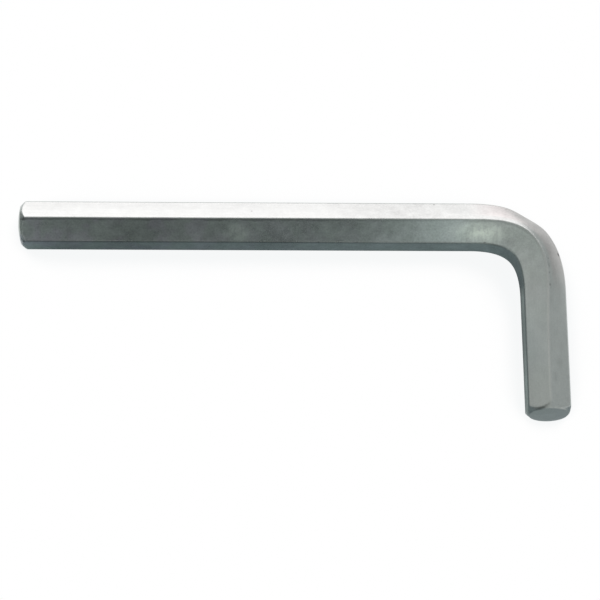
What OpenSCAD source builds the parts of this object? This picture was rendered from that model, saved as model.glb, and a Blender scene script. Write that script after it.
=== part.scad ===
// Hex key: one length of hexagonal bar, bent once to a right angle, with both tips chamfered.
// It lies flat as it would on a bench, on its lower corner edges: the long arm runs along X,
// the short arm points to -Y, and Z is up. The origin is under the middle of the whole key.

/* [Bar] */
// Width across the flats, which is the size of the screw socket that the key fits
across_flats = 9; // [6:0.5:12]
// Depth that the drawn bar's blunt corners fall short of a sharp hexagon's
corner_blunt = 0.12; // [0.02:0.02:0.3]

/* [Arms] */
// Overall length of the long arm, from its tip to the outer flat of the short arm
long_length = 114; // [80:1:200]
// Overall length of the short arm, from its tip to the outer flat of the long arm
short_length = 46; // [42:1:80]

/* [Bend] */
// Distance from the crossing of the two arms' axes to where each arm starts to curve
bend_reach = 14.8; // [12:0.2:16]
// How far the curve is drawn towards that crossing: 0.55 is a round arc, more is tighter in its middle
bend_pull = 0.71; // [0.55:0.01:0.75]
// Distance that bending pushes the two side corners outwards, at the middle of the bend
corner_shift = 0.77; // [0:0.01:1.2]
// Share by which bending widens the inner flat and narrows the outer one, at the middle of the bend
flat_spread = 0.15; // [0:0.01:0.25]
// Length of the short arm over which the shifted corners run back to the middle
run_out = 17; // [8:1:17]
// Depth of the flat that the bending tool pressed into the outer side of the bend
press_depth = 0.46; // [0:0.02:0.8]
// Place of that pressed flat along the bend, from 0 at the long arm to 1 at the short arm
press_place = 0.39; // [0.3:0.01:0.6]
// Share of the bend that the pressed flat reaches to each side of its place
press_span = 0.18; // [0.1:0.01:0.3]

/* [Tips] */
// Width of each tip's chamfer, measured inwards from the flats
chamfer_width = 0.6; // [0.3:0.1:1.2]
// Angle of the chamfer to the tip's face
chamfer_angle = 45; // [30:1:60]
// Width of the flat in the middle of each tip's face, which seats on the bottom of the screw's socket
face_width = 3.6; // [2:0.2:3.6]
// Radius of the shallow crown that the face is worn to, between that flat and the chamfer
crown_radius = 15; // [10:1:40]

/* [Hidden] */

flat_r = across_flats / 2;
corner_r = across_flats / sqrt(3) - corner_blunt;
// Half the width of the small flat that blunts a corner, whose sides lean 60 degrees from its radius
blunt_half = corner_blunt * tan(60);

// Points of the section, counter-clockwise: X is outwards from the bend, Y is up
corner_angles = [for (k = [0:5]) 30 + 60 * k];
section = [for (a = corner_angles, side = [-1, 1])
    [corner_r * cos(a) - side * blunt_half * sin(a),
     corner_r * sin(a) + side * blunt_half * cos(a)]];

// The bend's centre line is a curve whose two inner control points lie this far from the crossing
control_reach = bend_reach * (1 - bend_pull);
bend_steps = 36;
run_out_steps = 8;

// Radii of the tip's profile, turned about the arm's axis: flat face, crown, then chamfer
face_r = face_width / 2;
chamfer_r = flat_r - chamfer_width;
cutter_margin = 1;
cutter_r = corner_r + cutter_margin;
crown_steps = 4;
round_fn = 96;

// Height of the crown's sphere over its centre at a radius, and its depth behind the flat face
function crown_height(r) = sqrt(crown_radius * crown_radius - r * r);
function crown_depth(r) = crown_height(face_r) - crown_height(r);
chamfer_depth = (cutter_r - chamfer_r) * tan(chamfer_angle);

function smooth(x) = let (c = min(max(x, 0), 1)) c * c * (3 - 2 * c);

function bend_point(t) = let (u = 1 - t) [
    -bend_reach * u * u * u - 3 * control_reach * u * u * t,
    -bend_reach * t * t * t - 3 * control_reach * t * t * u];

function bend_direction(t) = let (u = 1 - t, side = bend_reach - control_reach) [
    3 * side * u * u + 6 * control_reach * u * t,
    -3 * side * t * t - 6 * control_reach * u * t];

// Share of the corner shift that is left at a distance along the short arm past the bend
half_bend = norm(bend_point(0.5) - bend_point(0)) + norm(bend_point(1) - bend_point(0.5));
fade_length = half_bend / 2 + run_out;
function fade_at(distance) = 1 - smooth(distance / fade_length);

// A station is a place on the centre line, its direction, its share of the bend's distortion
// and its share of the pressed flat
function bend_station(t) = [
    bend_point(t),
    bend_direction(t) / norm(bend_direction(t)),
    t < 0.5 ? smooth(2 * t) : fade_at((t - 0.5) * half_bend),
    1 - smooth(abs(t - press_place) / press_span)];

function run_out_station(s) = [
    [0, -bend_reach - s * run_out],
    [0, -1],
    fade_at(half_bend / 2 + s * run_out),
    0];

long_tip_station = [[flat_r - long_length, 0], [1, 0], 0, 0];
short_tip_station = [[0, flat_r - short_length], [0, -1], 0, 0];

stations = concat(
    [long_tip_station],
    [for (i = [0:bend_steps]) bend_station(i / bend_steps)],
    [for (i = [1:run_out_steps]) run_out_station(i / run_out_steps)],
    [short_tip_station]);

// One point of the section at a station: the side corners move outwards, the inner flat widens,
// the outer flat narrows and is pressed in
function bent_point(p, station) = let (
    share = p.x / flat_r,
    out = p.x
        + station[2] * corner_shift * (1 - share * share)
        - station[3] * press_depth * pow(max(share, 0), 2),
    up = p.y * (1 - station[2] * flat_spread * pow(share, 3)),
    along = station[1])
    [station[0].x - along.y * out, station[0].y + along.x * out, up];

// The whole bar, skinned over the section's points at every station
module bent_bar() {
    count = len(section);
    last = len(stations) - 1;
    points = [for (station = stations, p = section) bent_point(p, station)];
    sides = [for (i = [0:last - 1], j = [0:count - 1])
        let (a = i * count + j, b = i * count + (j + 1) % count)
        each [[a, a + count, b + count], [a, b + count, b]]];
    long_cap = [for (j = [0:count - 1]) j];
    short_cap = [for (j = [count - 1:-1:0]) last * count + j];
    polyhedron(points = points, faces = concat(sides, [long_cap, short_cap]));
}

// Ring that turns the crown and the chamfer on a tip whose face is at z = 0 and whose arm rises along Z
module tip_cutter() {
    crown = [for (i = [0:crown_steps])
        let (r = face_r + (chamfer_r - face_r) * i / crown_steps)
        [r, crown_depth(r)]];
    rotate_extrude($fn = round_fn)
        polygon(concat(
            [[face_r, -cutter_margin]],
            crown,
            [[cutter_r, crown_depth(chamfer_r) + chamfer_depth], [cutter_r, -cutter_margin]]));
}

module hex_key() {
    color([0.56, 0.59, 0.59])
        translate([long_length / 2 - flat_r, short_length / 2 - flat_r, corner_r])
            difference() {
                bent_bar();
                translate([flat_r - long_length, 0, 0]) rotate([0, 90, 0]) tip_cutter();
                translate([0, flat_r - short_length, 0]) rotate([-90, 0, 0]) tip_cutter();
            }
}

hex_key();
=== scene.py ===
"""A hex key bent from drawn bar and plated, lying on a pale studio floor.

The bar is made as the real one is: a hexagon is drawn out to its length, both tips are chamfered,
and the bar is bent once. Lengths are in metres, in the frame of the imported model, unless a comment
says that they are in mm.
"""

import math

import bmesh
import bpy
from bpy.props import FloatProperty, FloatVectorProperty, PointerProperty
from mathutils import Matrix, Vector


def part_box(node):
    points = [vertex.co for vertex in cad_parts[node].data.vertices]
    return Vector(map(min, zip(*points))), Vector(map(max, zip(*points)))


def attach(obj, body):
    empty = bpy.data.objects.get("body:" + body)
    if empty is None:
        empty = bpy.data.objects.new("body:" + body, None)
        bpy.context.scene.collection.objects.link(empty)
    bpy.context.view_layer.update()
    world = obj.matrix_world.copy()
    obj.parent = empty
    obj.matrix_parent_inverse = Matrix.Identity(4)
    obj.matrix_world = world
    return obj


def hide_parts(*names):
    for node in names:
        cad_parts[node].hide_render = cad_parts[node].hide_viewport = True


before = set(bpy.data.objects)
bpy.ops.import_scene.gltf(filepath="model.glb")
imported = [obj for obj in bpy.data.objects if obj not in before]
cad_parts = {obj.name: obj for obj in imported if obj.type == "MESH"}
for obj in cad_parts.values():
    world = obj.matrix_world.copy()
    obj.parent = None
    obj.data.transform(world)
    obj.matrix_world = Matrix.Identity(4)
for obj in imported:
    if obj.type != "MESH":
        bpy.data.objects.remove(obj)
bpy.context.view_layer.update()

bl_info = {
    "name": "Bent Hex Key",
    "version": (1, 0, 0),
    "blender": (4, 5, 0),
    "location": "3D View > Sidebar > Hex Key",
    "description": "Makes a plated hexagon key, bent from drawn bar, on a studio floor",
    "category": "Add Mesh",
}

MM = 0.001
NODE = "hex_key"
CAD_LOW, CAD_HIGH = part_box(NODE)
CAD_SIZE = CAD_HIGH - CAD_LOW

# Marks in the plating, and painted shade on the short tip's chamfer: place on the straight bar
# (along, outwards, up), half the length along it and half the width across it, all in mm, and
# darkness, which is negative where a mark is light
PITS = (
    (1.2, -4.35, 2.07, 0.5, 0.5, 0.75),
    (1.15, -0.4, 4.88, 0.55, 0.55, 0.55),
    (48.5, 1.9, 4.1, 0.3, 0.3, 0.4),
    (62.4, -4.3, 2.6, 0.3, 0.3, 0.4),
    (70.5, -4.3, 2.6, 0.4, 0.3, 0.3),
    (86.8, 4.0, 2.9, 0.3, 0.3, 0.5),
    (97.0, -4.2, 2.7, 0.5, 0.3, 0.5),
    (112.5, 4.0, 2.85, 0.5, 0.45, 0.95),
)
RIDGE_NICKS = (
    (113.2, 0.7, 4.8, 0.3, 0.3, 0.3),
    (114.6, 0.5, 4.9, 0.7, 0.25, 0.25),
    (115.9, 0.3, 5.0, 0.3, 0.3, 0.35),
    (118.0, 0.3, 5.0, 0.35, 0.3, 0.4),
)
# Painted shade: a dark smear across the short tip's chamfer, where one facet lies in shade
SHORT_TIP_PAINTED_SHADE = (
    (143.55, -0.5, 4.7, 0.45, 0.5, 0.2),
    (143.75, -1.0, 4.37, 0.45, 0.6, 0.3),
    (144.0, -1.55, 3.95, 0.55, 0.65, 0.36),
    (144.2, -2.1, 3.5, 0.65, 0.8, 0.42),
    (144.25, -2.7, 3.15, 0.65, 0.8, 0.36),
    (144.05, -3.3, 2.9, 0.6, 0.8, 0.2),
)
# Painted shade: darker spots on the other side of the short tip's chamfer
SHORT_TIP_CHAMFER_SHADE = (
    (144.1, 1.9, 3.75, 0.5, 1.0, 0.1),
    (144.1, 2.9, 3.2, 0.5, 1.0, 0.16),
    (143.85, 3.7, 2.7, 0.5, 0.9, 0.16),
)
CLOUDS = (
    (54.5, -2.5, 3.7, 6.0, 2.6, -0.08),
    (93.5, 2.4, 3.7, 4.5, 2.6, 0.08),
    (97.2, -2.2, 3.9, 3.0, 2.4, -0.1),
    (100.3, 2.5, 3.8, 3.5, 2.2, -0.06),
    (101.4, -2.4, 3.8, 2.2, 2.4, 0.07),
    (104.0, -2.6, 3.7, 4.5, 2.6, 0.11),
    (111.4, 2.0, 4.0, 3.5, 2.0, 0.08),
    (131.0, 2.6, 3.6, 2.6, 1.2, 0.07),
    (134.6, 2.2, 3.9, 2.2, 1.4, 0.09),
    (137.8, 1.2, 4.5, 2.0, 1.0, 0.12),
)

# Light patches that the bending tool rubbed: middle on the straight bar and half the size each
# way, in mm, and strength
RUBS = (
    ((96.4, -2.4, 3.8), (8.2, 2.9, 2.9), 1.0),
    ((45.5, -2.6, 3.7), (4.5, 2.6, 2.6), 0.6),
)

# Glowing cards that the key reflects and the camera doesn't see, which paint shade into the key's
# reflections; those lying on the floor paint the key's contact shadow as its flats reflect it.
# Place of the middle in mm, turn in degrees, width and depth in mm, tint, and levels across the
# width, each with its share of the width
CARDS = {
    "over_long_arm": {
        "place": (-13, 5.5, 21),
        "turn": (0, 0, 0),
        "size": (102, 27),
        "tint": (1.0, 1.08, 1.09),
        "levels": (
            (0.0, 0.25),
            (0.09, 0.22),
            (0.16, 0.18),
            (0.28, 0.14),
            (0.43, 0.155),
            (0.55, 0.205),
            (0.735, 0.2),
            (0.86, 0.345),
            (0.946, 0.55),
            (1.0, 0.57),
        ),
    },
    "in_the_crook": {
        "place": (-14, -93, 0.4),
        "turn": (0, 0, 0),
        "size": (122, 213),
        "tint": (1.0, 1.2, 1.27),
        "levels": (
            (0.0, 0.22),
            (0.16, 0.2),
            (0.23, 0.135),
            (0.33, 0.14),
            (0.46, 0.16),
            (0.6, 0.175),
            (0.8, 0.205),
            (0.95, 0.205),
            (1.0, 0.13),
        ),
    },
    "beside_short_arm": {
        "place": (44, -9, 0.5),
        "turn": (0, 0, -90),
        "size": (31, 6),
        "tint": (1.0, 1.14, 1.13),
        "levels": (
            (0.0, 0.22),
            (0.065, 0.36),
            (0.12, 0.34),
            (0.25, 0.285),
            (0.4, 0.3),
            (0.53, 0.375),
            (0.67, 0.43),
            (0.81, 0.37),
            (1.0, 0.33),
        ),
    },
    "in_front": {
        "place": (-25, -200, 50),
        "turn": (90, 0, 0),
        "size": (130, 100),
        "tint": (1.0, 1.05, 1.05),
        "levels": ((0.0, 0.14), (0.85, 0.14), (1.0, 0.53)),
    },
    "before_short_end": {
        "place": (60.5, -60, 0.4),
        "turn": (0, 0, 0),
        "size": (27, 76),
        "tint": (1.0, 1.12, 1.17),
        "levels": ((0.0, 0.335), (1.0, 0.335)),
    },
    "beside_long_tip": {
        "place": (-97.5, 0, 0.4),
        "turn": (0, 0, 0),
        "size": (45, 130),
        "tint": (1.0, 1.04, 1.0),
        "levels": ((0.0, 0.265), (1.0, 0.265)),
    },
    "on_the_left": {
        "place": (-130, -5, 40),
        "turn": (90, 0, 90),
        "size": (170, 80),
        "tint": (1.0, 1.1, 1.1),
        "levels": ((0.0, 0.21), (1.0, 0.21)),
    },
}

FLOOR_WIDTH = 8.0
SENSOR_WIDTH_MM = 36.0
SHADOW_SAMPLES = 16
# Shares of open sky over the floor at which the key's contact shadow is full and is gone
SHADOW_SKY = (0.55, 0.78)


class BarSettings(bpy.types.PropertyGroup):
    """The drawn bar and the lengths of its two arms."""

    across_flats: FloatProperty(
        name="Across flats",
        description="Width across the flats, the size of the socket that the key fits",
        default=9 * MM,
        unit="LENGTH",
    )
    across_corners: FloatProperty(
        name="Across corners",
        description="Width across the rounded corners of the drawn bar",
        default=CAD_SIZE.z,
        unit="LENGTH",
    )
    long_length: FloatProperty(
        name="Long arm",
        description="Overall length of the long arm",
        default=CAD_SIZE.x,
        unit="LENGTH",
    )
    short_length: FloatProperty(
        name="Short arm",
        description="Overall length of the short arm",
        default=CAD_SIZE.y,
        unit="LENGTH",
    )


class BendSettings(bpy.types.PropertyGroup):
    """The bend, and how bending distorts the bar's section."""

    reach: FloatProperty(
        name="Reach",
        description="Distance from the crossing of the arms' axes to the start of each arm's curve",
        default=14.8 * MM,
        unit="LENGTH",
    )
    pull: FloatProperty(
        name="Pull",
        description="How far the curve is drawn towards the crossing; 0.55 is a round arc",
        default=0.71,
    )
    corner_shift: FloatProperty(
        name="Corner shift",
        description="Distance that bending pushes the two side corners outwards",
        default=0.77 * MM,
        unit="LENGTH",
    )
    flat_spread: FloatProperty(
        name="Flat spread",
        description="Share by which bending widens the inner flat and narrows the outer one",
        default=0.15,
    )
    run_out: FloatProperty(
        name="Run-out",
        description="Length of the short arm over which the shifted corners run back",
        default=17 * MM,
        unit="LENGTH",
    )
    press_depth: FloatProperty(
        name="Pressed depth",
        description="Depth of the flat that the bending tool pressed into the outer side",
        default=0.46 * MM,
        unit="LENGTH",
    )
    press_place: FloatProperty(
        name="Pressed place",
        description="Place of the pressed flat along the bend, from 0 to 1",
        default=0.39,
    )
    press_span: FloatProperty(
        name="Pressed span",
        description="Share of the bend that the pressed flat reaches to each side of its place",
        default=0.18,
    )


class TipSettings(bpy.types.PropertyGroup):
    """The chamfered tips."""

    chamfer_width: FloatProperty(
        name="Chamfer width",
        description="Width of the chamfer, measured inwards from the flats",
        default=0.45 * MM,
        unit="LENGTH",
    )
    chamfer_angle: FloatProperty(
        name="Chamfer angle",
        description="Angle of the chamfer to the tip's face",
        default=math.radians(45),
        subtype="ANGLE",
        unit="ROTATION",
    )
    face_width: FloatProperty(
        name="Face width",
        description="Width of the flat in the middle of the tip's face",
        default=3.6 * MM,
        unit="LENGTH",
    )
    crown_radius: FloatProperty(
        name="Crown radius",
        description="Radius of the shallow crown between that flat and the chamfer",
        default=15 * MM,
        unit="LENGTH",
    )
    long_tip_lean: FloatProperty(
        name="Long tip's lean",
        description="Angle by which the long tip is off square, reaching further at its top",
        default=math.radians(4),
        subtype="ANGLE",
        unit="ROTATION",
    )
    short_tip_lean: FloatProperty(
        name="Short tip's lean",
        description="The same angle of the short tip; less than 0 reaches further at the bottom",
        default=math.radians(-4),
        subtype="ANGLE",
        unit="ROTATION",
    )
    softness: FloatProperty(
        name="Edge softness",
        description="Width over which the plated edge between chamfer and flat is rounded",
        default=0.22 * MM,
        unit="LENGTH",
    )


class FinishSettings(bpy.types.PropertyGroup):
    """The satin plating."""

    plating: FloatVectorProperty(
        name="Plating",
        description="Colour of the clean plating",
        default=(0.488, 0.54, 0.508),
        subtype="COLOR",
        min=0.0,
        max=1.0,
    )
    # Also painted over most of the outer face as its lit colour
    worn_and_lit_plating: FloatVectorProperty(
        name="Worn plating",
        description="Colour of the plating where handling has greyed it",
        default=(0.503, 0.535, 0.527),
        subtype="COLOR",
        min=0.0,
        max=1.0,
    )
    clouded_plating: FloatVectorProperty(
        name="Clouded plating",
        description="Colour of the plating in the faint clouds near the long tip",
        default=(0.53, 0.52, 0.565),
        subtype="COLOR",
        min=0.0,
        max=1.0,
    )
    bent_plating: FloatVectorProperty(
        name="Bent plating",
        description="Colour of the plating stretched round the outside of the bend",
        default=(0.54, 0.525, 0.515),
        subtype="COLOR",
        min=0.0,
        max=1.0,
    )
    rubbed_plating: FloatVectorProperty(
        name="Rubbed plating",
        description="Colour of the plating where the bending tool rubbed it",
        default=(0.5, 0.55, 0.49),
        subtype="COLOR",
        min=0.0,
        max=1.0,
    )
    mottling: FloatProperty(
        name="Mottling",
        description="Strength of the light and dark mottling",
        default=0.16,
    )
    # Strength of the painted shade along the ridges
    ridge_darkness: FloatProperty(
        name="Ridge darkness",
        description="How much darker the drawn bar's ridges are than its flats",
        default=0.42,
    )
    rub_lightness: FloatProperty(
        name="Rub lightness",
        description="How much lighter the plating is where the bending tool rubbed it",
        default=0.54,
    )
    roughness: FloatProperty(
        name="Roughness",
        description="Roughness of the clean plating",
        default=0.30,
        min=0.0,
        max=1.0,
    )
    grain_depth: FloatProperty(
        name="Grain depth",
        description="Depth of the grain and the drawing lines that catch the light",
        default=0.006 * MM,
        unit="LENGTH",
    )


class StageSettings(bpy.types.PropertyGroup):
    """The floor, the room, the lamp and the camera."""

    floor_colour: FloatVectorProperty(
        name="Floor",
        description="Colour of the floor",
        default=(0.93, 0.93, 0.93),
        subtype="COLOR",
        min=0.0,
        max=1.0,
    )
    shadow_colour: FloatVectorProperty(
        name="Shadow",
        description="Tint of the contact shadow",
        default=(0.75, 0.95, 1.0),
        subtype="COLOR",
        min=0.0,
        max=1.0,
    )
    shadow_reach: FloatProperty(
        name="Shadow reach",
        description="Distance from the floor over which the key closes off its light",
        default=14 * MM,
        unit="LENGTH",
    )
    shadow_level: FloatProperty(
        name="Shadow level",
        description="Brightness left in the contact shadow",
        default=0.08,
    )
    shadow_fade: FloatProperty(
        name="Shadow fade",
        description="Share of the contact shadow that the camera's white takes away",
        default=0.93,
    )
    room_colour: FloatVectorProperty(
        name="Room",
        description="Colour of the room round the floor",
        default=(0.55, 0.562, 0.557),
        subtype="COLOR",
        min=0.0,
        max=1.0,
    )
    lamp_place: FloatVectorProperty(
        name="Lamp",
        description="Place of the soft lamp behind the key",
        default=(0.0, 1.1, 0.56),
        subtype="TRANSLATION",
        unit="LENGTH",
    )
    lamp_size: FloatVectorProperty(
        name="Lamp size",
        description="Width and height of the soft lamp",
        default=(1.5, 1.2),
        size=2,
        unit="LENGTH",
    )
    lamp_colour: FloatVectorProperty(
        name="Lamp colour",
        description="Colour of the lamp's light",
        default=(1.0, 0.891, 0.913),
        subtype="COLOR",
        min=0.0,
        max=1.0,
    )
    lamp_level: FloatProperty(
        name="Lamp level",
        description="Brightness of the lamp's surface",
        default=1.587,
    )
    camera_aim: FloatVectorProperty(
        name="Camera's aim",
        description="Point that the camera looks at",
        default=(1.528 * MM, 2.306 * MM, CAD_HIGH.z / 2.0),
        subtype="TRANSLATION",
        unit="LENGTH",
    )
    camera_distance: FloatProperty(
        name="Camera's distance",
        description="Distance of the camera from the point that it looks at",
        default=623.8 * MM,
        unit="LENGTH",
    )
    camera_pitch: FloatProperty(
        name="Camera's pitch",
        description="Turn from looking straight down towards looking along the bench",
        default=math.radians(18.228),
        subtype="ANGLE",
        unit="ROTATION",
    )
    camera_yaw: FloatProperty(
        name="Camera's yaw",
        description="Turn from looking straight down towards one side",
        default=math.radians(-3.612),
        subtype="ANGLE",
        unit="ROTATION",
    )
    camera_roll: FloatProperty(
        name="Camera's roll",
        description="Turn of the picture in its own plane",
        default=math.radians(-0.937),
        subtype="ANGLE",
        unit="ROTATION",
    )
    focal_length: FloatProperty(
        name="Focal length",
        description="Focal length of the camera, on a sensor 36 mm wide",
        default=180.0,
        unit="CAMERA",
    )


def in_metres(*sizes):
    """Millimetres as a tuple of metres."""
    return tuple(size * MM for size in sizes)


def smooth(x):
    """Rises from 0 to 1 with level ends."""
    c = min(max(x, 0.0), 1.0)
    return c * c * (3.0 - 2.0 * c)


def soft_min(a, b, width):
    """The smaller of two lengths, rounded where they are about the same."""
    overlap = max(width - abs(a - b), 0.0) / width
    return min(a, b) - overlap * overlap * width / 4.0


class KeyShape:
    """The key's form: places along the straight bar, and where bending takes its points."""

    corner_segments = 8
    flat_cuts = 12
    # Share of a flat between its edge and the first cut, which keeps the rounded corner narrow
    edge_share = 0.012
    bend_rings = 72
    run_out_rings = 20
    tip_rings = 26
    tip_reach = 2.3 * MM
    # Half a ring further than the tip reaches, so that its last ring is counted in
    tip_end = tip_reach * (1.0 + 0.5 / tip_rings)
    arm_ring_gap = 3 * MM
    # Each ring inside a tip's face, as a share of the one round it
    face_ring_shares = (0.97, 0.7, 0.4)

    def __init__(self, scene):
        self.bar = scene.hex_key_bar
        self.bend = scene.hex_key_bend
        self.tips = scene.hex_key_tips
        self.flat_r = self.bar.across_flats / 2.0
        self.sharp_r = self.bar.across_flats / math.sqrt(3.0)
        self.half_flat = self.sharp_r / 2.0
        self.corner_depth = self.sharp_r - self.bar.across_corners / 2.0
        self.crossing = Vector(
            (CAD_HIGH.x - self.flat_r, CAD_HIGH.y - self.flat_r, (CAD_LOW.z + CAD_HIGH.z) / 2.0)
        )
        self.control = self.bend.reach * (1.0 - self.bend.pull)
        start, middle, end = (self.bend_point(t) for t in (0.0, 0.5, 1.0))
        self.bend_span = (middle - start).length + (end - middle).length
        self.bend_start = self.bar.long_length - self.flat_r - self.bend.reach
        self.bend_end = self.bend_start + self.bend_span
        self.total = self.bend_end + self.bar.short_length - self.flat_r - self.bend.reach

    def bend_point(self, t):
        """A point of the bend's centre line, from the crossing of the arms' axes."""
        u = 1.0 - t
        reach, control = self.bend.reach, self.control
        return Vector(
            (-reach * u**3 - 3.0 * control * u * u * t, -reach * t**3 - 3.0 * control * t * t * u)
        )

    def bend_direction(self, t):
        """The direction of the bend's centre line."""
        u = 1.0 - t
        side = self.bend.reach - self.control
        along = Vector(
            (
                3.0 * side * u * u + 6.0 * self.control * u * t,
                -3.0 * side * t * t - 6.0 * self.control * u * t,
            )
        )
        return along.normalized()

    def fade(self, distance):
        """Share of the corner shift that is left at a distance past the middle of the bend."""
        return 1.0 - smooth(distance / (self.bend_span / 2.0 + self.bend.run_out))

    def station(self, along):
        """Centre, direction, share of the distortion and share of the pressed flat at a place."""
        if along <= self.bend_start:
            centre = Vector((along - self.bend_start - self.bend.reach, 0.0))
            return centre, Vector((1.0, 0.0)), 0.0, 0.0
        if along >= self.bend_end:
            past = along - self.bend_end
            centre = Vector((0.0, -self.bend.reach - past))
            return centre, Vector((0.0, -1.0)), self.fade(self.bend_span / 2.0 + past), 0.0
        t = (along - self.bend_start) / self.bend_span
        distorted = smooth(2.0 * t) if t < 0.5 else self.fade((t - 0.5) * self.bend_span)
        pressed = 1.0 - smooth(abs(t - self.bend.press_place) / self.bend.press_span)
        return self.bend_point(t), self.bend_direction(t), distorted, pressed

    def bent(self, point):
        """Where bending takes a point (along, outwards, up) of the straight bar."""
        centre, direction, distorted, pressed = self.station(point.x)
        share = point.y / self.flat_r
        out = point.y + distorted * self.bend.corner_shift * (1.0 - share * share)
        out -= pressed * self.bend.press_depth * max(share, 0.0) ** 2
        up = point.z * (1.0 - distorted * self.bend.flat_spread * share**3)
        return self.crossing + Vector(
            (centre.x - direction.y * out, centre.y + direction.x * out, up)
        )

    def tip_radius(self, depth):
        """Largest radius that the chamfer leaves at a depth behind the tip's face."""
        chamfer_r = self.flat_r - self.tips.chamfer_width
        crown = self.tips.crown_radius
        face_height = math.sqrt(crown**2 - (self.tips.face_width / 2.0) ** 2)
        crown_depth = face_height - math.sqrt(crown**2 - chamfer_r**2)
        if depth < crown_depth:
            return math.sqrt(crown**2 - (face_height - depth) ** 2)
        return chamfer_r + (depth - crown_depth) / math.tan(self.tips.chamfer_angle)

    def chamfered(self, point):
        """The place of a point of the straight bar once its tip is chamfered and leans."""
        depth = min(point.x, self.total - point.x)
        radius = math.hypot(point.y, point.z)
        if depth > self.tip_end or radius == 0.0:
            return point
        kept = soft_min(radius, self.tip_radius(max(depth, 0.0)), self.tips.softness) / radius
        height = point.z * kept
        at_long_tip = point.x <= self.tip_end
        slope = math.tan(self.tips.long_tip_lean if at_long_tip else self.tips.short_tip_lean)
        outwards = slope * height - abs(slope) * self.tips.face_width / 2.0
        along = point.x - outwards if at_long_tip else point.x + outwards
        return Vector((along, point.y * kept, height))

    def ring_places(self):
        """Places along the straight bar that carry a ring of points."""
        tip = [self.tip_reach * i / self.tip_rings for i in range(self.tip_rings + 1)]
        run_out_end = self.bend_end + self.bend.run_out
        places = list(tip)
        places += self.spread(self.tip_reach, self.bend_start, self.arm_ring_gap)
        places += self.spread(self.bend_start, self.bend_end, self.bend_span / self.bend_rings)
        places += self.spread(self.bend_end, run_out_end, self.bend.run_out / self.run_out_rings)
        places += self.spread(run_out_end, self.total - self.tip_reach, self.arm_ring_gap)
        places += [self.total - place for place in reversed(tip[:-1])]
        return places

    @staticmethod
    def spread(start, end, gap):
        """Even places after a start up to an end, about a gap apart."""
        count = max(round((end - start) / gap), 1)
        return [start + (end - start) * i / count for i in range(1, count + 1)]

    def ridge_share(self, point):
        """1 on the bar's nearest ridge, 0 half a flat away from it."""
        turn = math.radians(60)
        angle = (math.atan2(point.z, point.y) + turn / 2.0) % turn - turn / 2.0
        return min(abs(math.hypot(point.y, point.z) * math.sin(angle)) / self.half_flat, 1.0)


def picked(geometry, kind):
    """The elements of one kind in what an operator returned."""
    return [item for item in geometry if isinstance(item, kind)]


def draw_section(bm, shape):
    """The bar's section at the long tip: a hexagon with rounded corners and points on its flats."""
    stand_up = Matrix(((0, 0, 1, 0), (1, 0, 0, 0), (0, 1, 0, 0), (0, 0, 0, 1)))
    bmesh.ops.create_circle(bm, cap_ends=True, segments=6, radius=shape.sharp_r, matrix=stand_up)
    # A bevel takes this share of its offset off a corner of 120 degrees
    depth_share = 1.0 - math.sqrt(0.5)
    bmesh.ops.bevel(
        bm,
        geom=bm.verts[:],
        affect="VERTICES",
        offset=shape.corner_depth / depth_share,
        offset_type="OFFSET",
        segments=shape.corner_segments,
        profile=0.5,
        material=-1,
    )
    cuts = shape.flat_cuts
    shares = [shape.edge_share] + [i / cuts for i in range(1, cuts)] + [1.0 - shape.edge_share]
    for edge in [e for e in bm.edges if e.calc_length() > shape.half_flat]:
        point = edge.verts[0]
        done = 0.0
        for share in shares:
            point = bmesh.utils.edge_split(edge, point, (share - done) / (1.0 - done))[1]
            done = share


def draw_bar(bm, shape):
    """The straight bar, drawn out of its section ring by ring and closed at its far end."""
    ring = bm.edges[:]
    for place in shape.ring_places()[1:]:
        drawn = bmesh.ops.extrude_edge_only(bm, edges=ring)["geom"]
        new_points = set(picked(drawn, bmesh.types.BMVert))
        for v in new_points:
            v.co.x = place
        ring = [e for e in picked(drawn, bmesh.types.BMEdge) if set(e.verts) <= new_points]
    bmesh.ops.edgeloop_fill(bm, edges=ring)
    bmesh.ops.recalc_face_normals(bm, faces=bm.faces[:])


def mark_ridges(bm, shape):
    """Notes how close each point of the drawn bar is to a ridge and to the middle of the bend."""
    ridge = bm.verts.layers.float.new("ridge")
    bent = bm.verts.layers.float.new("bent")
    middle = (shape.bend_start + shape.bend_end) / 2.0
    for v in bm.verts:
        v[ridge] = shape.ridge_share(v.co)
        v[bent] = 1.0 - smooth(abs(v.co.x - middle) / shape.bend_span)


def mark_places(bm):
    """Notes each point's place on the straight bar, for the finish to follow round the bend."""
    straight = bm.verts.layers.float_vector.new("straight")
    for v in bm.verts:
        v[straight] = v.co


def dress_tip_faces(bm, shape):
    """Rings inside both end faces, shrunk towards their middles."""
    for share in shape.face_ring_shares:
        for face in [f for f in bm.faces if len(f.verts) > 4]:
            bmesh.ops.inset_individual(bm, faces=[face], thickness=0.0)
            middle = face.calc_center_bounds()
            for v in face.verts:
                v.co = middle.lerp(v.co, share)


def key_mesh(shape):
    """The whole key as one closed mesh."""
    bm = bmesh.new()
    draw_section(bm, shape)
    draw_bar(bm, shape)
    mark_ridges(bm, shape)
    for v in bm.verts:
        v.co = shape.chamfered(v.co)
    dress_tip_faces(bm, shape)
    mark_places(bm)
    for v in bm.verts:
        v.co = shape.bent(v.co)
    for f in bm.faces:
        f.smooth = True
    mesh = bpy.data.meshes.new("plated_bar")
    bm.to_mesh(mesh)
    bm.free()
    return mesh


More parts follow.
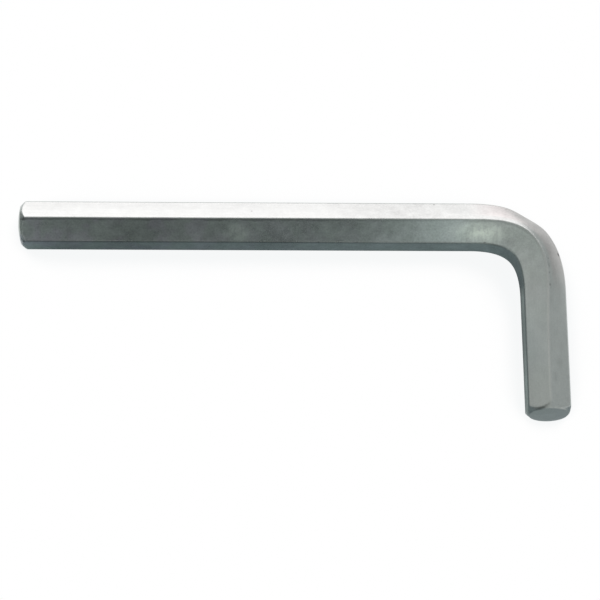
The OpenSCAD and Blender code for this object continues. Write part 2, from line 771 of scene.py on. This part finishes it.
class Value:
    """A shader socket that adds Math nodes as it is used in an expression."""

    def __init__(self, nodes, socket):
        self.nodes = nodes
        self.socket = socket

    def math(self, operation, first, second):
        """A Math node of two numbers, sockets or plain."""
        return self.nodes.value("ShaderNodeMath", {"operation": operation}, {0: first, 1: second})

    def __add__(self, other):
        return self.math("ADD", self, other)

    def __radd__(self, other):
        return self.math("ADD", other, self)

    def __sub__(self, other):
        return self.math("SUBTRACT", self, other)

    def __rsub__(self, other):
        return self.math("SUBTRACT", other, self)

    def __mul__(self, other):
        return self.math("MULTIPLY", self, other)

    def __rmul__(self, other):
        return self.math("MULTIPLY", other, self)

    def __pow__(self, other):
        return self.math("POWER", self, other)


class Nodes:
    """The node tree of one material or world."""

    # A Mix node has several sockets called A, B and Result, and these are the ones for colours
    colour_a = 6
    colour_b = 7
    colour_result = 2

    def __init__(self, owner):
        owner.use_nodes = True
        self.tree = owner.node_tree
        self.tree.nodes.clear()

    def add(self, kind, settings=None, inputs=None):
        """Adds a node, makes its settings, then fills or links its sockets."""
        node = self.tree.nodes.new(kind)
        for name, value in (settings or {}).items():
            if name == "stops":
                for (place, colour), stop in zip(value, self.stops_of(node, len(value))):
                    stop.position = place
                    stop.color = colour
            else:
                setattr(node, name, value)
        for name, value in (inputs or {}).items():
            if isinstance(value, Value):
                self.tree.links.new(value.socket, node.inputs[name])
            else:
                node.inputs[name].default_value = value
        return node

    @staticmethod
    def stops_of(node, count):
        """The stops of a colour ramp, as many as are asked for."""
        stops = node.color_ramp.elements
        while len(stops) < count:
            stops.new(1.0)
        return stops

    def value(self, kind, settings=None, inputs=None, output=0):
        """Adds a node and gives one of its outputs."""
        return Value(self, self.add(kind, settings, inputs).outputs[output])

    def attribute(self, name, output="Fac"):
        """A number or a place that the piece's own points carry."""
        return self.value("ShaderNodeAttribute", {"attribute_name": name}, output=output)

    def noise(self, place, size, detail=2.0):
        """Noise from 0 to 1 with features of a size, in the units of the place."""
        inputs = {"Vector": place, "Scale": 1.0 / size, "Detail": detail}
        return self.value("ShaderNodeTexNoise", inputs=inputs, output="Fac")

    def between(self, value, low, high):
        """0 below low, 1 above high, smooth between them."""
        return self.value(
            "ShaderNodeMapRange",
            {"interpolation_type": "SMOOTHSTEP"},
            {"Value": value, "From Min": low, "From Max": high},
        )

    def past(self, value, start_mm, end_mm):
        """0 where a length is less than a start, 1 where it is more than an end, both in mm."""
        return self.between(value, start_mm * MM, end_mm * MM)

    def parts(self, vector):
        """The three numbers of a vector."""
        node = self.add("ShaderNodeSeparateXYZ", inputs={"Vector": vector})
        return [Value(self, output) for output in node.outputs]

    def vector(self, operation, first, second):
        """A Vector Math node of two vectors."""
        return self.value("ShaderNodeVectorMath", {"operation": operation}, {0: first, 1: second})

    def stretched(self, place, sizes_mm):
        """A place in units of a size in mm of its own each way, for a pattern drawn out one way."""
        return self.vector("MULTIPLY", place, [1.0 / size for size in in_metres(*sizes_mm)])

    def spot(self, place, centre_mm, sizes_mm):
        """1 at a centre, falling smoothly to 0 at a distance in mm of its own each way."""
        away = self.stretched(self.vector("SUBTRACT", place, in_metres(*centre_mm)), sizes_mm)
        distance = self.value(
            "ShaderNodeVectorMath", {"operation": "LENGTH"}, {0: away}, output="Value"
        )
        return 1.0 - self.between(distance, 0.0, 1.0)

    def mix(self, share, first, second, blend="MIX"):
        """A colour between two colours, or what a blend makes of them."""
        return self.value(
            "ShaderNodeMix",
            {"data_type": "RGBA", "blend_type": blend},
            {"Factor": share, self.colour_a: first, self.colour_b: second},
            self.colour_result,
        )


def opaque(colour):
    """A colour with the fourth number that a colour socket takes."""
    return (*colour, 1.0)


class Plating:
    """The satin plating, from each point's place on the straight bar."""

    def __init__(self, n, finish):
        self.n = n
        self.finish = finish
        self.straight = n.attribute("straight", "Vector")
        self.along, self.out, up = n.parts(self.straight)
        # Where a point is: on a side and not a tip's face, on the half outside the bend, on the
        # flat inside the bend, on the handled end of the long arm or past it, where the outer face
        # also takes painted shade, and before the bend
        self.on_sides = n.past((self.out**2 + up**2) ** 0.5, 4.1, 4.4)
        self.outer = n.past(self.out, -0.15, 0.15) * self.on_sides
        self.inner = 1.0 - n.past(self.out, -3.6, -2.4)
        self.handled_and_shaded = n.past(self.along, 58, 84)
        self.drawn_out = 1.0 - n.past(self.along, 98, 122)

        clouds = n.noise(self.straight, 11 * MM)
        self.blotches = n.noise(self.straight, 1.9 * MM)
        self.mottling = clouds + self.blotches - 1.0
        self.hue = n.noise(self.straight, 4.5 * MM)
        self.grain = n.noise(self.straight, 0.36 * MM, detail=1.0)
        self.lines = n.noise(n.stretched(self.straight, (8, 0.2, 0.2)), 1.0)
        self.uneven = 1.1 + self.drawn_out * (2.3 - self.outer * (2.3 - 1.9 * self.handled_and_shaded))
        self.rubbed = self.rubbed_places()

    def rubbed_places(self):
        """Light patches of crossing strokes."""
        n = self.n
        strokes = n.noise(n.stretched(self.straight, (0.5, 1.8, 1.8)), 1.0, detail=1.0)
        patches = 0.0
        for centre, size, strength in RUBS:
            patches = n.spot(self.straight, centre, size) * strength + patches
        return patches * n.between((strokes + self.blotches) * 0.5, 0.2, 0.62)

    def ridge_shade_lines(self):
        """Painted shade: dark lines along the ridges, ragged, firmer on the inner side, faint past
        the bend.
        """
        raggedness = 0.5 - 0.35 * self.inner
        nearness = self.n.attribute("ridge") + (self.blotches - 0.5) * raggedness
        line = self.n.between(nearness - 0.08 * self.inner, 0.72, 0.92)
        left_past_bend = 0.1 + 0.1 * self.inner
        left = self.drawn_out + (1.0 - self.drawn_out) * left_past_bend
        return line * self.on_sides * (1.0 - 0.4 * self.handled_and_shaded) * left

    def marks(self):
        """Pits, nicks and clouds, and the painted shade on the short tip's chamfer."""
        darkness = 0.0
        for group in (PITS, RIDGE_NICKS, SHORT_TIP_PAINTED_SHADE, SHORT_TIP_CHAMFER_SHADE, CLOUDS):
            for along, out, up, half_length, half_width, depth in group:
                size = (half_length, half_width, half_width)
                spot = self.n.spot(self.straight, (along, out, up), size)
                darkness = spot * depth + darkness
        return darkness

    def tone(self):
        """How light the plating is, where 1 is clean, with painted highlights and shade folded in.
        """
        n, outer, handled_and_shaded, drawn_out = self.n, self.outer, self.handled_and_shaded, self.drawn_out
        grain_strength = 0.17 + drawn_out * (0.27 - 0.32 * outer + 0.13 * outer * handled_and_shaded)
        line_strength = 0.1 + 0.06 * outer * drawn_out
        bend_darkness = (0.03 + 0.03 * outer) * n.past(self.along, 84, 122)
        # Painted highlight on the outer face near the long tip, and painted shade darkening the
        # outer face further out
        painted_tip_highlight = 0.035 * outer * (1.0 - n.past(self.along, 1, 14))
        painted_edge_shade = 0.05 * outer * n.past(self.out, 1.2, 3.2) * drawn_out

        tone = 1.0 + self.uneven * self.finish.mottling * self.mottling
        tone = tone + grain_strength * (self.grain - 0.5) + line_strength * (self.lines - 0.5)
        # Painted shade along the ridges, except on the outer face
        tone = tone * (1.0 - self.finish.ridge_darkness * self.ridge_shade_lines() * (1.0 - outer))
        # Painted shade: the outer face is darker from the handled end of the long arm on
        tone = tone * (1.0 - 0.045 * outer * handled_and_shaded) * (1.0 - bend_darkness)
        tone = tone * (1.0 + painted_tip_highlight) + self.finish.rub_lightness * self.rubbed
        return tone * (1.0 - painted_edge_shade) * (1.0 - self.marks())

    def colour(self):
        """The plating's hue, made lighter and darker by its tone."""
        n, finish = self.n, self.finish
        not_outer = 1.0 - self.outer
        near_tip = 1.0 - n.past(self.along, 22, 52)
        worn = n.between(self.hue, 0.38, 0.62) * (1.0 - 0.6 * self.handled_and_shaded) * not_outer
        clouded = n.between(self.hue, 0.48, 0.68) * near_tip * not_outer
        round_bend = n.between(n.attribute("bent"), 0.4, 0.8) * n.past(self.out, 0.5, 1.5)
        past_bend = (1.0 - self.drawn_out) * not_outer

        colour = opaque(finish.plating)
        # Most of the outer face takes the greyer worn colour as painted light, being the face the
        # lamp lights
        colour = n.mix(worn + 0.8 * self.outer, colour, opaque(finish.worn_and_lit_plating))
        colour = n.mix(0.6 * clouded, colour, opaque(finish.clouded_plating))
        colour = n.mix(0.7 * round_bend + 0.3 * past_bend, colour, opaque(finish.bent_plating))
        colour = n.mix(self.rubbed, colour, opaque(finish.rubbed_plating))
        return n.mix(1.0, colour, self.tone(), "MULTIPLY")

    def roughness(self):
        """Rougher where the plating is mottled, handled or rubbed."""
        mottled = 0.05 * self.uneven * self.mottling
        return self.finish.roughness + mottled + 0.03 * self.handled_and_shaded + 0.03 * self.rubbed

    def bump(self):
        """The grain and the drawing lines, which catch the light."""
        height = self.grain * 0.5 + self.lines
        inputs = {"Height": height, "Strength": 0.5, "Distance": self.finish.grain_depth}
        return self.n.value("ShaderNodeBump", inputs=inputs)


def plated_steel(finish):
    """Satin plating over drawn steel: mottled, with faint drawing lines, ridges darkened by painted
    shade, and marks.
    """
    material = bpy.data.materials.new("satin_plating")
    n = Nodes(material)
    plating = Plating(n, finish)
    inputs = {
        "Base Color": plating.colour(),
        "Metallic": 1.0,
        "Roughness": plating.roughness(),
        "Normal": plating.bump(),
    }
    shader = n.value("ShaderNodeBsdfPrincipled", inputs=inputs)
    n.add("ShaderNodeOutputMaterial", inputs={"Surface": shader})
    return material


class MakeKey(bpy.types.Operator):
    """Make the plated key in the place of the plain solid"""

    bl_idname = "hexkey.make_key"
    bl_label = "Hex key"

    def execute(self, context):
        shape = KeyShape(context.scene)
        key = bpy.data.objects.new("plated_key", key_mesh(shape))
        context.scene.collection.objects.link(key)
        key.data.materials.append(plated_steel(context.scene.hex_key_finish))
        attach(key, "root")
        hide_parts(NODE)
        return {"FINISHED"}


def flat_sheet(scene, name, width, depth):
    """A flat rectangle round the origin, facing up."""
    bm = bmesh.new()
    across = Matrix.Diagonal((width / 2.0, depth / 2.0, 1.0, 1.0))
    bmesh.ops.create_grid(bm, x_segments=1, y_segments=1, size=1.0, matrix=across)
    mesh = bpy.data.meshes.new(name)
    bm.to_mesh(mesh)
    bm.free()
    sheet = bpy.data.objects.new(name, mesh)
    scene.collection.objects.link(sheet)
    return sheet


def floor_paper(settings):
    """Pale paper that is white to the camera and in the key, with the key's contact shadow painted
    into its glow from ambient occlusion.
    """
    material = bpy.data.materials.new("floor_paper")
    n = Nodes(material)
    path = n.add("ShaderNodeLightPath")
    camera, glossy, transmitted = (
        Value(n, path.outputs[f"Is {ray} Ray"]) for ray in ("Camera", "Glossy", "Transmission")
    )
    seen = camera.math("MAXIMUM", camera.math("MAXIMUM", camera, glossy), transmitted)
    open_sky = n.value(
        "ShaderNodeAmbientOcclusion",
        {"samples": SHADOW_SAMPLES},
        {"Distance": settings.shadow_reach},
        output="AO",
    )
    # Painted shadow: the glow is darker where the key closes off the open sky, and the camera sees
    # less of it than the key's reflections do
    level = settings.shadow_level
    lit = level + (1.0 - level) * n.between(open_sky, *SHADOW_SKY)
    lit = lit + (1.0 - lit) * settings.shadow_fade * camera
    tint = n.mix(lit, opaque(settings.shadow_colour), opaque((1.0, 1.0, 1.0)))
    white = n.value("ShaderNodeEmission", inputs={"Color": tint, "Strength": lit})
    paper = n.value("ShaderNodeBsdfDiffuse", inputs={"Color": opaque(settings.floor_colour)})
    shader = n.value("ShaderNodeMixShader", inputs={0: seen, 1: paper, 2: white})
    n.add("ShaderNodeOutputMaterial", inputs={"Surface": shader})
    return material


def make_floor(scene, settings):
    """A wide pale floor under the key."""
    floor = flat_sheet(scene, "floor", FLOOR_WIDTH, FLOOR_WIDTH)
    floor.data.materials.append(floor_paper(settings))


def card_paint(name, width, tint, levels):
    """Paint that shines evenly as painted shade in the key's reflections, with its levels spread
    across a card's width.
    """
    material = bpy.data.materials.new(name)
    n = Nodes(material)
    across = n.parts(n.value("ShaderNodeTexCoord", output="Object"))[0]
    stops = [(place, opaque(level * part for part in tint)) for place, level in levels]
    colour = n.value("ShaderNodeValToRGB", {"stops": stops}, {"Fac": across * (1.0 / width) + 0.5})
    shader = n.value("ShaderNodeEmission", inputs={"Color": colour, "Strength": 1.0})
    n.add("ShaderNodeOutputMaterial", inputs={"Surface": shader})
    return material


def make_card(scene, name, place, turn, size, tint, levels):
    """A dark glowing card that the key reflects and the camera doesn't see, painting shade into the
    key's reflections.
    """
    width, depth = in_metres(*size)
    card = flat_sheet(scene, name, width, depth)
    card.location = in_metres(*place)
    card.rotation_euler = [math.radians(angle) for angle in turn]
    card.visible_camera = False
    card.visible_shadow = False
    card.visible_diffuse = False
    card.data.materials.append(card_paint(name, width, tint, levels))


def make_lamp(scene, settings):
    """One rectangular soft lamp of an even brightness, aimed at the middle of the frame."""
    data = bpy.data.lights.new("back_softbox", "AREA")
    data.shape = "RECTANGLE"
    data.size, data.size_y = settings.lamp_size
    data.energy = settings.lamp_level * math.pi * data.size * data.size_y
    data.color = settings.lamp_colour
    lamp = bpy.data.objects.new("back_softbox", data)
    place = Vector(settings.lamp_place)
    turn = (-place).to_track_quat("-Z", "Y").to_matrix().to_4x4()
    lamp.matrix_world = Matrix.Translation(place) @ turn
    scene.collection.objects.link(lamp)


def make_world(scene, settings):
    """An even grey room."""
    world = bpy.data.worlds.new("room")
    scene.world = world
    n = Nodes(world)
    inputs = {"Color": opaque(settings.room_colour), "Strength": 1.0}
    shader = n.value("ShaderNodeBackground", inputs=inputs)
    n.add("ShaderNodeOutputWorld", inputs={"Surface": shader})


def make_camera(scene, settings):
    """The camera, where the photograph was taken from."""
    data = bpy.data.cameras.new("camera")
    data.lens = settings.focal_length
    data.sensor_width = SENSOR_WIDTH_MM
    camera = bpy.data.objects.new("camera", data)
    camera.matrix_world = (
        Matrix.Translation(settings.camera_aim)
        @ Matrix.Rotation(settings.camera_yaw, 4, "Y")
        @ Matrix.Rotation(settings.camera_pitch, 4, "X")
        @ Matrix.Rotation(settings.camera_roll, 4, "Z")
        @ Matrix.Translation((0.0, 0.0, settings.camera_distance))
    )
    scene.collection.objects.link(camera)
    scene.camera = camera


class MakeStage(bpy.types.Operator):
    """Set the camera, the floor, the room, the lamp and the cards round the key"""

    bl_idname = "hexkey.make_stage"
    bl_label = "Stage"

    def execute(self, context):
        scene = context.scene
        for make in (make_camera, make_floor, make_world, make_lamp):
            make(scene, scene.hex_key_stage)
        for name, card in CARDS.items():
            make_card(scene, name, **card)
        scene.view_settings.view_transform = "Standard"
        return {"FINISHED"}


class KeyPanel(bpy.types.Panel):
    """The settings and the two steps"""

    bl_idname = "HEXKEY_PT_key"
    bl_label = "Hex Key"
    bl_space_type = "VIEW_3D"
    bl_region_type = "UI"
    bl_category = "Hex Key"

    def draw(self, context):
        for name, _ in SETTINGS:
            group = getattr(context.scene, name)
            column = self.layout.box().column()
            for setting in group.__annotations__:
                column.prop(group, setting)
        for operator in (MakeKey, MakeStage):
            self.layout.operator(operator.bl_idname)


SETTINGS = (
    ("hex_key_bar", BarSettings),
    ("hex_key_bend", BendSettings),
    ("hex_key_tips", TipSettings),
    ("hex_key_finish", FinishSettings),
    ("hex_key_stage", StageSettings),
)
CLASSES = tuple(group for _, group in SETTINGS) + (MakeKey, MakeStage, KeyPanel)


def register():
    for item in CLASSES:
        bpy.utils.register_class(item)
    for name, group in SETTINGS:
        setattr(bpy.types.Scene, name, PointerProperty(type=group))


def unregister():
    for name, _ in SETTINGS:
        delattr(bpy.types.Scene, name)
    for item in reversed(CLASSES):
        bpy.utils.unregister_class(item)


def main():
    register()
    bpy.ops.hexkey.make_key()
    bpy.ops.hexkey.make_stage()


if __name__ == "__main__":
    main()
